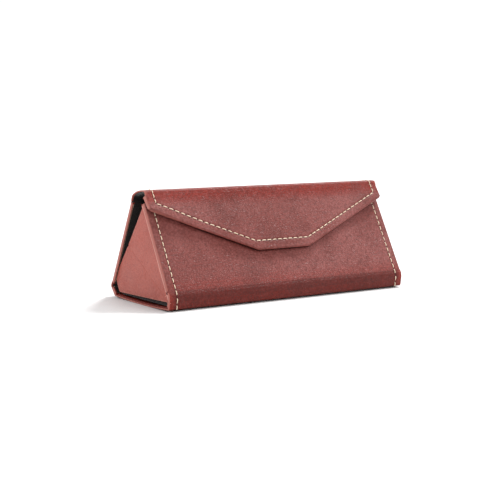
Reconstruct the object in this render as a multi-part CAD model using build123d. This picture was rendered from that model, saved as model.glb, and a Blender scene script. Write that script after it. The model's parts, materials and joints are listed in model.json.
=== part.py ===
from build123d import *
import math
import os

# Folding eyeglasses case: a triangular tube of leather-covered boards with a flap, a soft top spine and
# two folding end panels. Millimetres. +X runs along the case, -Y is the front, +Z is up, and the origin
# is the middle of the bottom face's footprint.

# ---- driving dimensions ----
length = 165.0            # along the case, end to end
base_width = 62.0         # flat bottom, front fold to rear fold
total_depth = 68.7        # front fold to rear fold of the widest section
front_strip_height = 8.2  # narrow front wall below the front panel's fold
front_strip_lean = 1.2    # how far that wall leans forward
rear_strip_run = 5.5      # narrow rear chamfer, horizontal run
rear_strip_rise = 6.35    # narrow rear chamfer, rise
front_ridge = (-6.45, 64.2)  # section point (y, z) where the flap folds off the top spine
rear_ridge = (7.05, 60.6)    # section point (y, z) where the top spine folds off the back panel

leather = 0.9             # outer leather
thin_leather = 0.4        # skived leather of the end panels
board = 1.2               # board in the front and bottom panels
thick_board = 1.6         # board in the back panel
flap_board_t = 1.2
end_board_t = 0.6
lining = 0.3
fold_clear = 3.0          # a board panel starts this far from its fold line
bead_gap = 0.2            # between a fold's bead and the leather on the fold's other side
run_gap = 0.15            # between layers that lie on each other when folded

flap_gap = 0.6            # flap above the front panel
flap_length = 40.0        # fold to tip edge
flap_side_length = 11.7   # fold to the lower corner at each end
flap_tip_half = 18.0      # half the width of the tip edge
front_top_radius = 57.0   # front panel's height, from its fold

end_recess = 1.1          # end panels sit this far inside the ends of the case
crease_trim = 21.5        # degrees, each end board's edge above its own hinge line
end_apex_inset = 1.2      # upper end panel stops this far short of the front panel's top
end_back_corner = (27.3, 12.4)  # rear free corner (y, z) of the lower end panel
end_low_corner = (24.0, 4.05)   # rear end of the lower end panel's hinge line
lower_toe = 4.5           # the lower end panel starts this far from the two hinge lines' meeting point
upper_toe = 6.8           # and the upper end panel this far, to clear the front strip
unboarded_end = 7.0       # the bottom's turned leather ends have no board
bottom_slot = 1.0         # open slot between the bottom and the end panels' hinge lines
bed_gap = 0.4             # bottom board short of the strips' inner corners
front_board_gap = 0.6     # front strip's board above the bottom leather
rear_board_gap = 1.2      # rear strip's board above the bottom leather
spine_lining_gap = 2.0    # spine lining short of its two folds
end_board_gap = 0.8       # end boards inside their leather

stitch_inset = 4.9        # stitch line from the ends of the case
stitch_edge = 5.6         # stitch line from the flap's lower edges
stitch_pitch = 3.7
stitch_length = 2.6
stitch_width = 0.7
stitch_height = 0.35
seam_start = 1.0          # stitch lines start this far from a fold
seam_end = 1.5            # and stop this far from a panel's free or far edge
strip_seam_start = 0.4
strip_seam_end = 0.2
magnet_radius = 5.0
magnet_x = 11.0           # magnets each side of the middle
magnet_from_tip = 9.0     # magnet centre from the flap's tip edge

# ---- section geometry, (y, z) ----
front_bottom = (-total_depth / 2 + front_strip_lean, 0.0)
front_fold = (-total_depth / 2, front_strip_height)
rear_bottom = (front_bottom[0] + base_width, 0.0)
rear_fold = (rear_bottom[0] + rear_strip_run, rear_strip_rise)
panel_t = leather + board + lining
back_t = leather + thick_board + lining
flap_t = leather + flap_board_t + lining
spine_t = leather + lining
end_t = thin_leather + end_board_t
half = length / 2


def direction(degrees):
    return math.cos(math.radians(degrees)), math.sin(math.radians(degrees))


def angle_between(a, b):
    return math.degrees(math.atan2(b[1] - a[1], b[0] - a[0]))


def moved(point, along, distance):
    return point[0] + along[0] * distance, point[1] + along[1] * distance


ridge_reach = math.dist(front_fold, front_ridge)
front_angle = angle_between(front_fold, front_ridge) - math.degrees(math.asin((flap_t + flap_gap) / ridge_reach))
back_angle = angle_between(rear_fold, rear_ridge)
spine_angle = angle_between(rear_ridge, front_ridge)
strip_angle = angle_between(front_bottom, front_fold)
rear_strip_angle = angle_between(rear_bottom, rear_fold)
up_front = direction(front_angle)
in_front = (up_front[1], -up_front[0])
up_back = direction(back_angle)
in_back = (-up_back[1], up_back[0])
along_spine = direction(spine_angle)
in_spine = (-along_spine[1], along_spine[0])
up_strip = direction(strip_angle)
in_strip = (up_strip[1], -up_strip[0])
up_rear = direction(rear_strip_angle)
in_rear = (-up_rear[1], up_rear[0])


def fold_axis(fold, in_a, in_b):
    """Where the middles of the leather of two panels that share a fold line meet."""
    reach = leather / 2 / (1 + in_a[0] * in_b[0] + in_a[1] * in_b[1])
    return fold[0] + (in_a[0] + in_b[0]) * reach, fold[1] + (in_a[1] + in_b[1]) * reach


def fold_set_back(bend):
    """How far a fold's axis lies from the fold line, along either panel."""
    return leather / 2 * math.tan(math.radians(abs(bend)) / 2)


front_axis = fold_axis(front_fold, in_strip, in_front)
rear_axis = fold_axis(rear_fold, in_rear, in_back)
spine_axis = fold_axis(rear_ridge, in_back, in_spine)
flap_axis = fold_axis(front_ridge, in_spine, in_front)
front_set_back = fold_set_back(strip_angle - front_angle)
rear_set_back = fold_set_back(back_angle - rear_strip_angle)
spine_set_back = fold_set_back(spine_angle - back_angle)
flap_set_back = fold_set_back(front_angle + 180 - spine_angle)
skin_stop = leather / 2 + bead_gap
lower_hinge_z = panel_t + bottom_slot + run_gap + end_t / 2
upper_hinge_offset = panel_t - leather / 2 + run_gap + end_t / 2


def prism(points, x_low, x_high):
    """Solid with the (y, z) outline, from x_low to x_high."""
    face = make_face(Polyline([Vector(x_low, y, z) for y, z in points], close=True))
    return extrude(face, amount=x_high - x_low, dir=(1, 0, 0))


def bead(axis, radius, x_low, x_high):
    """Round bar along X on a fold line."""
    plane = Plane(origin=(x_low, axis[0], axis[1]), x_dir=(0, 1, 0), z_dir=(1, 0, 0))
    return extrude(plane * Circle(radius), amount=x_high - x_low)


def skin_plane(point, inward):
    """Plane on a panel's outer face: local x along the case, local z outward."""
    return Plane(origin=(0, point[0], point[1]), x_dir=(1, 0, 0), z_dir=(0, -inward[0], -inward[1]))


def slab(plane, outline, depth_low, depth_high):
    """Solid with a local outline, between two depths below the plane."""
    face = make_face(Polyline([Vector(x, y, 0) for x, y in outline], close=True))
    return extrude(plane.offset(-depth_high) * face, amount=depth_high - depth_low)


def inset(outline, distance):
    """The outline of a convex polygon moved in by the distance."""
    lines = []
    count = len(outline)
    middle = (sum(p[0] for p in outline) / count, sum(p[1] for p in outline) / count)
    for i, a in enumerate(outline):
        b = outline[(i + 1) % count]
        step = math.dist(a, b)
        normal = ((a[1] - b[1]) / step, (b[0] - a[0]) / step)
        if (middle[0] - a[0]) * normal[0] + (middle[1] - a[1]) * normal[1] < 0:
            normal = (-normal[0], -normal[1])
        lines.append((normal, normal[0] * a[0] + normal[1] * a[1] + distance))
    corners = []
    for i, (n2, c2) in enumerate(lines):
        n1, c1 = lines[i - 1]
        det = n1[0] * n2[1] - n1[1] * n2[0]
        corners.append(((c1 * n2[1] - c2 * n1[1]) / det, (n1[0] * c2 - n2[0] * c1) / det))
    return corners


def rectangle(x_half, low, high):
    return [(-x_half, low), (x_half, low), (x_half, high), (-x_half, high)]


def save(part, name):
    if isinstance(part, (list, tuple, ShapeList)):
        part = Compound(children=list(part))
    part.label = name
    export_step(part, f"parts/{name}.step")


def covered_panel(name, plane, outline, board_thickness):
    """Leather tray with turned edges, a board in it and a lining sheet; returns the leather."""
    thickness = leather + board_thickness + lining
    pocket = inset(outline, leather)
    cover = slab(plane, outline, 0, thickness) - slab(plane, pocket, leather, thickness)
    board_solid = slab(plane, pocket, leather, leather + board_thickness)
    lining_solid = slab(plane, pocket, leather + board_thickness, thickness)
    save(lining_solid, f"{name}_lining")
    return cover, board_solid


def fold_tab(plane, edge, fold, axis):
    """Leather between a panel's edge and its fold, ending in a bead on the fold axis."""
    tab = slab(plane, rectangle(half, min(edge, fold), max(edge, fold)), 0, leather)
    return tab + bead(axis, leather / 2, -half, half)


def stitches(plane, route):
    """Thread bars standing on a face along a local (x, y) route."""
    bars = []
    for a, b in zip(route, route[1:]):
        span = math.dist(a, b)
        count = max(1, round(span / stitch_pitch))
        turn = math.degrees(math.atan2(b[1] - a[1], b[0] - a[0]))
        for i in range(count):
            t = (i + 0.5) / count
            spot = Location((a[0] + (b[0] - a[0]) * t, a[1] + (b[1] - a[1]) * t, 0), (0, 0, turn))
            bar = Box(stitch_length, stitch_width, stitch_height, align=(Align.CENTER, Align.CENTER, Align.MIN))
            bars.append(plane.location * spot * bar)
    return bars


def magnets(plane, y, depth):
    """Two thin discs in a board, at the given local height."""
    discs = []
    for x in (-magnet_x, magnet_x):
        spot = plane.offset(-depth - board).location * Location((x, y, 0))
        discs.append(spot * Cylinder(magnet_radius, board, align=(Align.CENTER, Align.CENTER, Align.MIN)))
    return discs


def without(solid, others):
    for other in others:
        solid = solid - other
    return solid


def make_base():
    """Bottom panel with its front and rear strips, all in one bent leather cover."""
    strip_end = math.dist(front_bottom, front_fold) - front_set_back - skin_stop
    strip_top = moved(front_bottom, up_strip, strip_end)
    rear_end = math.dist(rear_bottom, rear_fold) - rear_set_back - skin_stop
    rear_top = moved(rear_bottom, up_rear, rear_end)
    inner_front = (front_bottom[0] + panel_t / up_strip[1], panel_t)
    rear_corner = (rear_bottom[0] - back_t / 2, panel_t)
    section = [front_bottom, rear_bottom, rear_top, moved(rear_top, in_rear, panel_t), rear_corner,
               inner_front, moved(strip_top, in_strip, panel_t), strip_top]
    shell = prism(section, -half, half)

    bottom_plane = skin_plane((0, 0), (0, 1))
    bed = rectangle(half - unboarded_end, -rear_corner[0] + bed_gap, -inner_front[0] - bed_gap)
    bottom_board = slab(bottom_plane, bed, leather, leather + board)
    bottom_lining = slab(bottom_plane, bed, leather + board, panel_t)

    front_plane = skin_plane(front_bottom, in_strip)
    front_bed = rectangle(half - leather, leather + front_board_gap, strip_end - leather)
    front_strip_board = slab(front_plane, front_bed, leather, leather + board)
    rear_plane = skin_plane(rear_bottom, in_rear)
    rear_bed = rectangle(half - leather, -(rear_end - leather), -(leather + rear_board_gap))
    rear_strip_board = slab(rear_plane, rear_bed, leather, leather + board)

    cover = without(shell, [bottom_board, bottom_lining, front_strip_board, rear_strip_board])
    save(cover, "bottom_cover")
    save(bottom_board, "bottom_board")
    save(bottom_lining, "bottom_lining")
    save(front_strip_board, "front_strip_board")
    save(rear_strip_board, "rear_strip_board")
    bars = []
    for x in (-half + stitch_inset, half - stitch_inset):
        bars += stitches(front_plane, [(x, strip_seam_start), (x, strip_end - strip_seam_end)])
    save(bars, "strip_stitching")


def make_front():
    """Front panel, hinged at the top of the front strip."""
    plane = skin_plane(front_fold, in_front)
    outline = rectangle(half, fold_clear, front_top_radius)
    cover, board_solid = covered_panel("front", plane, outline, board)
    tip_height = ridge_reach - flap_length
    discs = magnets(plane, tip_height + magnet_from_tip, leather)
    save(cover + fold_tab(plane, fold_clear, front_set_back, front_axis), "front_cover")
    save(without(board_solid, discs), "front_board")
    save(discs, "front_magnets")
    bars = []
    for x in (-half + stitch_inset, half - stitch_inset):
        bars += stitches(plane, [(x, seam_start), (x, front_top_radius - seam_end)])
    save(bars, "front_stitching")


def make_back():
    """Back panel, hinged at the top of the rear strip."""
    plane = skin_plane(rear_fold, in_back)
    height = math.dist(rear_fold, rear_ridge)
    outline = rectangle(half, -(height - fold_clear), -fold_clear)
    cover, board_solid = covered_panel("back", plane, outline, thick_board)
    lower_tab = fold_tab(plane, -fold_clear, -rear_set_back, rear_axis)
    upper_end = height - spine_set_back - skin_stop
    upper_tab = slab(plane, rectangle(half, -upper_end, -(height - fold_clear)), 0, leather)
    save(cover + lower_tab + upper_tab, "back_cover")
    save(board_solid, "back_board")
    bars = []
    for x in (-half + stitch_inset, half - stitch_inset):
        bars += stitches(plane, [(x, -(height - seam_end)), (x, -seam_end)])
    save(bars, "back_stitching")


def make_spine():
    """Soft top spine between the back panel and the flap."""
    plane = skin_plane(front_ridge, in_spine)
    width = math.dist(front_ridge, rear_ridge)
    skin = slab(plane, rectangle(half, flap_set_back + skin_stop, width - spine_set_back), 0, leather)
    save(skin + bead(spine_axis, leather / 2, -half, half), "spine_cover")
    bed = rectangle(half - leather, spine_lining_gap, width - spine_lining_gap)
    save(slab(plane, bed, leather, spine_t), "spine_lining")
    bars = []
    for x in (-half + stitch_inset, half - stitch_inset):
        bars += stitches(plane, [(x, seam_start), (x, width - seam_start)])
    save(bars, "spine_stitching")


def make_flap():
    """Flap with slanted lower edges and a straight tip, folded over the front."""
    plane = skin_plane(front_ridge, in_front)
    top = -fold_clear
    outline = [(-half, top), (-half, -flap_side_length), (-flap_tip_half, -flap_length),
               (flap_tip_half, -flap_length), (half, -flap_side_length), (half, top)]
    cover, board_solid = covered_panel("flap", plane, outline, flap_board_t)
    discs = magnets(plane, -flap_length + magnet_from_tip, leather)
    save(cover + fold_tab(plane, top, -flap_set_back, flap_axis), "flap_cover")
    save(without(board_solid, discs), "flap_board")
    save(discs, "flap_magnets")
    hem = inset([(-half + stitch_inset - stitch_edge, 0.0), *outline[1:5], (half - stitch_inset + stitch_edge, 0.0)],
                stitch_edge)
    side_x = half - stitch_inset
    slope = (flap_length - flap_side_length) / (half - flap_tip_half)
    corner_y = -flap_side_length + stitch_edge * math.hypot(1, slope) - stitch_inset * slope
    route = [(-side_x, -seam_start), (-side_x, corner_y), hem[2], hem[3], (side_x, corner_y),
             (side_x, -seam_start)]
    save(stitches(plane, route), "flap_stitching")


def make_end(name, sign):
    """Two hinged halves of an end panel and the leather crease between them."""
    outer = sign * (half - end_recess)
    skin = sign * (half - end_recess - thin_leather)
    inner = sign * (half - end_recess - end_t)
    middle = (outer + inner) / 2

    # the two hinge lines meet at the crease's root
    start = moved(front_axis, in_front, upper_hinge_offset)
    root_run = (lower_hinge_z - start[1]) / up_front[1]
    root = moved(start, up_front, root_run)
    apex_run = front_top_radius - end_apex_inset - root_run
    apex = moved(root, up_front, apex_run)

    crease = direction(front_angle / 2)
    rear_edge = direction(angle_between(end_back_corner, apex))
    crease_run = ray_hit(root, crease, end_back_corner, rear_edge)
    kink = moved(root, crease, crease_run)
    low_trim = direction(crease_trim)
    high_trim = direction(front_angle - crease_trim)
    low_stop = moved(root, low_trim, ray_hit(root, low_trim, end_back_corner, rear_edge))
    high_stop = moved(root, high_trim, ray_hit(root, high_trim, end_back_corner, rear_edge))
    low_outline = [moved(root, (1, 0), lower_toe), end_low_corner, end_back_corner, low_stop,
                   moved(root, low_trim, lower_toe)]
    high_outline = [moved(root, up_front, upper_toe), moved(root, high_trim, upper_toe), high_stop, apex]
    web_outline = [moved(root, low_trim, lower_toe), low_stop, kink, high_stop, moved(root, high_trim, upper_toe)]

    def sheet(outline, a, b):
        return prism(outline, min(a, b), max(a, b))

    low_bar = hinge_bar((middle, *moved(root, (1, 0), lower_toe)), (middle, *end_low_corner))
    high_bar = hinge_bar((middle, *moved(root, up_front, upper_toe)), (middle, *apex))
    save(sheet(low_outline, outer, skin) + low_bar, f"{name}_lower_end_cover")
    save(sheet(inset(low_outline, end_board_gap), skin, inner), f"{name}_lower_end_board")
    save(sheet(high_outline, outer, skin) + high_bar, f"{name}_upper_end_cover")
    save(sheet(inset(high_outline, end_board_gap), skin, inner), f"{name}_upper_end_board")
    save(sheet(web_outline, outer, skin), f"{name}_end_crease")
    return root


def ray_hit(a, along, b, across):
    """Distance from a along one direction to the line through b."""
    det = along[0] * across[1] - along[1] * across[0]
    return ((b[0] - a[0]) * across[1] - (b[1] - a[1]) * across[0]) / det


def hinge_bar(a, b):
    """Round bar of the end panel's thickness between two points."""
    run = Vector(*b) - Vector(*a)
    plane = Plane(origin=a, z_dir=run)
    return extrude(plane * Circle(end_t / 2), amount=run.length)


def main():
    os.makedirs("parts", exist_ok=True)
    make_base()
    make_front()
    make_back()
    make_spine()
    make_flap()
    root = make_end("left", -1)
    make_end("right", 1)
    upper = moved(front_axis, in_front, upper_hinge_offset)
    print("front angle", round(front_angle, 3), "back angle", round(back_angle, 3), "spine", round(spine_angle, 3))
    for name, point in (("front_axis", front_axis), ("rear_axis", rear_axis), ("spine_axis", spine_axis),
                        ("flap_axis", flap_axis), ("end root", root), ("upper hinge", upper)):
        print(name, [round(v, 4) for v in point])
    print("lower hinge z", lower_hinge_z, "middle x", half - end_recess - end_t / 2)


main()
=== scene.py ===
import json
import math
import random

import bmesh
import bpy
import numpy as np
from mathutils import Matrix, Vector
from mathutils.geometry import delaunay_2d_cdt


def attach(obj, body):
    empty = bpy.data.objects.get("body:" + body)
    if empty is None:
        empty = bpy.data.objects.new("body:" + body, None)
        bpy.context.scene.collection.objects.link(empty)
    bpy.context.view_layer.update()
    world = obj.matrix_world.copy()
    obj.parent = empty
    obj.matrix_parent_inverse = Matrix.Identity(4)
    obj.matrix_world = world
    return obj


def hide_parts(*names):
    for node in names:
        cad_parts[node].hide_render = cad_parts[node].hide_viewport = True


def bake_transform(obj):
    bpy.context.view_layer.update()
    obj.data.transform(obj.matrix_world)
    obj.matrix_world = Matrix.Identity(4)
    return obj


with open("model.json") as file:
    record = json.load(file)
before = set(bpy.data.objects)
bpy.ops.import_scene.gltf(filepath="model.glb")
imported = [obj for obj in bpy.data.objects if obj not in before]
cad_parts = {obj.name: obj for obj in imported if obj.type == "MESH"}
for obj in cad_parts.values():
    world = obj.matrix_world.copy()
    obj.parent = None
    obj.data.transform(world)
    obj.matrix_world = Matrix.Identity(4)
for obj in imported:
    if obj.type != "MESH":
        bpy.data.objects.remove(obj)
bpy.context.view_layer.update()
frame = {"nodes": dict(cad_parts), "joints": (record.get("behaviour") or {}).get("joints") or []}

MM = 0.001                 # shapes are worked out in millimetres and written in metres
JOINTS = {j["name"]: j for j in frame["joints"]}

# ---- sizes of the leather work, in millimetres ----
SKIN = 0.9                 # outer leather
VISIBLE_SKIN = 0.85        # drawn a little thinner than the space the frame leaves for it
PANEL_T = 2.4              # front, bottom and flap
BACK_T = 2.8
LINING_T = 0.3
EDGE_ROUND = 0.95          # rounding of a turned leather edge
STITCH_INSET = 4.9         # stitch line from the ends of the case
STITCH_TIP = 5.6           # stitch line from the flap's lower edge
STITCH_SLANT = 4.9         # stitch line from the flap's slanted edges
STITCH_PITCH = 3.7
STITCH_LENGTH = 2.85
BESIDE_SEAM = (-1.4, -0.8, -0.45, -0.2, 0.0, 0.2, 0.45, 0.8, 1.4)
THREAD_R = 0.27
HOLE_LONG, HOLE_WIDE = 0.52, 0.36
TOE = 7.0                  # the upper half of an end panel starts this far from where the hinge lines meet
BOTTOM_BOW = 0.9           # the bottom bows down between its long edges
FLAP_LENGTH = 40.0
FLAP_SIDE = 11.7
FLAP_TIP_HALF = 18.0
LINING_SHY = 0.95          # lining stops this far inside a panel's rim
BASE_PAINTED_SHADE, FOLD_PAINTED_SHADE = 0.36, 0.40   # painted shade: darker colour low on the case, standing in for the shade there


# ---- the section, seen along the case: (y, z) in millimetres ----
class Face:
    """A panel's outer face. s runs along it from its start, depth inward from it; lift(x, s) raises it."""

    def __init__(self, start, along, out, lift=None):
        self.start, self.along, self.out = (np.array(v, float) for v in (start, along, out))
        self.lift = lift

    def at(self, s, depth=0.0):
        return self.start + self.along * s - self.out * depth

    def points(self, x, s, depth):
        if self.lift:
            depth = depth - self.lift(x, s)
        yz = self.start + np.multiply.outer(s, self.along) - np.multiply.outer(depth, self.out)
        return np.concatenate([np.asarray(x, float)[..., None], yz], axis=-1)

    def inner(self, thickness):
        """The same panel seen from inside the case."""
        return Face(self.start - self.out * thickness, self.along, -self.out)


class PathFace:
    """A curved outer face that follows a section path; s is the length along the path."""

    def __init__(self, path, inward):
        self.path = np.array(path, float)
        self.marks = np.r_[0, np.cumsum(np.linalg.norm(np.diff(self.path, axis=0), axis=1))]
        tangent = np.gradient(self.path, axis=0)
        tangent /= np.linalg.norm(tangent, axis=1)[:, None]
        self.normal = np.stack([-tangent[:, 1], tangent[:, 0]], 1) * inward
        self.length = self.marks[-1]

    def points(self, x, s, depth):
        def at_s(values):
            return np.stack([np.interp(s, self.marks, values[:, k]) for k in range(2)], -1)

        yz = at_s(self.path) + np.asarray(depth, float)[..., None] * at_s(self.normal)
        return np.concatenate([np.asarray(x, float)[..., None], yz], axis=-1)


def axis_point(joint):
    return np.array(JOINTS[joint]["pos_m"][1:], float) / MM


def unit(v):
    v = np.asarray(v, float)
    return v / np.linalg.norm(v)


def left_of(v):
    return np.array((-v[1], v[0]))


def node_points(node):
    return np.array([v.co for v in frame["nodes"][node].data.vertices], float) / MM


def reach(node, face):
    """Lowest and highest s of a CAD node on a face."""
    s = (node_points(node)[:, 1:] - face.start) @ face.along
    return s.min(), s.max()


HALF = node_points("front_cover")[:, 0].max()
FLAP_SLANT = (FLAP_LENGTH - FLAP_SIDE) / (HALF - FLAP_TIP_HALF)
front_pin, rear_pin = axis_point("front_panel_fold"), axis_point("back_panel_hinge")
spine_pin, flap_pin = axis_point("top_spine_hinge"), axis_point("flap_hinge")
up_front = unit(np.array(JOINTS["right_upper_end_fold"]["axis"][1:], float))
up_back = unit(spine_pin - rear_pin)
up_spine = unit(flap_pin - spine_pin)
front, flap, back, spine = (Face(pin + out * SKIN / 2, along, out) for pin, along, out in (
    (front_pin, up_front, left_of(up_front)), (flap_pin, -up_front, left_of(up_front)),
    (rear_pin, up_back, -left_of(up_back)), (spine_pin, up_spine, -left_of(up_spine))))


def crossing(p, a, q, b):
    """Where the line through p along a meets the line through q along b."""
    m = np.array([[a[0], -b[0]], [a[1], -b[1]]])
    t = np.linalg.solve(m, np.asarray(q) - np.asarray(p))[0]
    return np.asarray(p) + np.asarray(a) * t


base_points = node_points("bottom_cover")
floor_points = base_points[base_points[:, 2] < 0.01]
front_corner = np.array((floor_points[:, 1].min(), 0.0))
rear_corner = np.array((floor_points[:, 1].max(), 0.0))
strip_tip = base_points[base_points[:, 1] < base_points[:, 1].min() + 0.01][0, 1:]
up_strip = unit(strip_tip - front_corner)
front_fold = crossing(front_corner, up_strip, front.start, up_front)
rear_tip = base_points[base_points[:, 1] > base_points[:, 1].max() - 0.01][0, 1:]
up_rear = unit(rear_tip - rear_corner)
rear_fold = crossing(rear_corner, up_rear, back.start, up_back)
rear_ridge = crossing(back.start, up_back, spine.start, up_spine)
front_ridge = crossing(spine.start, up_spine, flap.start, up_front)
strip = Face(front_corner, up_strip, left_of(up_strip))
rear_strip = Face(rear_corner, up_rear, -left_of(up_rear))


# ---- mesh helpers ----
def link(mesh, name):
    obj = bpy.data.objects.new(name, mesh)
    bpy.context.scene.collection.objects.link(obj)
    return obj


def make_mesh(name, points, faces, out=None, edge=None, painted_sheen=None):
    """Mesh from points in millimetres; out says which way its first side faces."""
    mesh = bpy.data.meshes.new(name)
    mesh.from_pydata([tuple(p * MM) for p in points], [], faces)
    mesh.update()
    for layer, values in (("edge_wear_and_painted_light", edge), ("painted_sheen", painted_sheen)):
        if values is not None:
            data = mesh.attributes.new(layer, "FLOAT", "POINT").data
            data.foreach_set("value", np.asarray(values, np.float32))
    bm = bmesh.new()
    bm.from_mesh(mesh)
    bmesh.ops.remove_doubles(bm, verts=bm.verts, dist=2e-6)
    if out is None:
        bmesh.ops.recalc_face_normals(bm, faces=bm.faces)
    else:
        total = sum((f.normal * f.calc_area() for f in bm.faces), Vector())
        if total.dot(Vector(out)) < 0:
            bmesh.ops.reverse_faces(bm, faces=bm.faces)
    bm.to_mesh(mesh)
    bm.free()
    return link(mesh, name)


def smooth(obj, degrees=38):
    obj.data.shade_smooth()
    obj.data.set_sharp_from_angle(angle=math.radians(degrees))
    return obj


def thicken(obj, thickness):
    """Gives an open leather sheet its thickness, inward from the face it shows."""
    modifier = obj.modifiers.new("leather", "SOLIDIFY")
    modifier.thickness = thickness * MM
    modifier.offset = -1
    modifier.use_even_offset = False
    graph = bpy.context.evaluated_depsgraph_get()
    mesh = bpy.data.meshes.new_from_object(obj.evaluated_get(graph))
    obj.modifiers.clear()
    obj.data = mesh
    return obj


def grid_faces(rows, columns):
    corners = (i * columns + j for i in range(rows - 1) for j in range(columns - 1))
    return [(a, a + 1, a + columns + 1, a + columns) for a in corners]


def ring_faces(rings, size, first=0, caps=True):
    """Faces of a tube made of rings of points, with its two ends closed."""
    faces = []
    for i in range(rings - 1):
        for j in range(size):
            a, b = first + i * size + j, first + i * size + (j + 1) % size
            faces.append((a, b, b + size, a + size))
    if caps:
        last = first + (rings - 1) * size
        faces += [tuple(range(first, first + size)), tuple(range(last, last + size))]
    return faces


def smoothstep(t):
    t = np.clip(t, 0, 1)
    return t * t * (3 - 2 * t)


def ripple(x, s, seed):
    """Gentle unevenness of leather over board, from -1 to 1."""
    rng = random.Random(seed)
    total = np.zeros(np.broadcast(x, s).shape)
    for _ in range(7):
        wave = rng.uniform(14, 60)
        turn = rng.uniform(0, math.pi)
        total += np.sin((x * math.cos(turn) + s * math.sin(turn)) * 2 * math.pi / wave + rng.uniform(0, 6.3))
    return total / 7


def quarter_turn(radius, steps):
    """(inset, depth) round an edge, from the wall to the face."""
    turns = (math.pi / 2 * k / steps for k in range(steps + 1))
    return [(radius * (1 - math.cos(turn)), radius * (1 - math.sin(turn))) for turn in turns]


def edge_profile(thickness, radius):
    """(inset, depth) down a turned edge, from the inner side to the face."""
    wall = [(0.12, thickness), (0.0, thickness - 0.25), (0.0, (thickness + radius) / 2)]
    return wall + quarter_turn(radius, 6)


def spread(low, high, step, near=()):
    """Evenly spaced values with close ones beside each named place."""
    count = max(2, int(round((high - low) / step)) + 1)
    values = set(np.round(np.linspace(low, high, count), 4))
    for place in near:
        values |= {round(place + d, 4) for d in BESIDE_SEAM}
    kept = []
    for v in sorted(v for v in values if low - 1e-6 <= v <= high + 1e-6):
        if not kept or v - kept[-1] > 0.12:
            kept.append(v)
    return np.array(kept)


def segment_distance(x, s, route):
    """Distance from each point to a route of (x, s) corners."""
    best = np.full(np.broadcast(x, s).shape, 1e9)
    for a, b in zip(route, route[1:]):
        a, b = np.array(a, float), np.array(b, float)
        d = b - a
        t = np.clip(((x - a[0]) * d[0] + (s - a[1]) * d[1]) / (d @ d), 0, 1)
        best = np.minimum(best, np.hypot(x - a[0] - t * d[0], s - a[1] - t * d[1]))
    return best


def as_function(limit):
    """A limit along a panel, given as a number or as a function of x, always as a function."""
    return limit if callable(limit) else lambda x: np.full(np.shape(x), float(limit))


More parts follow.
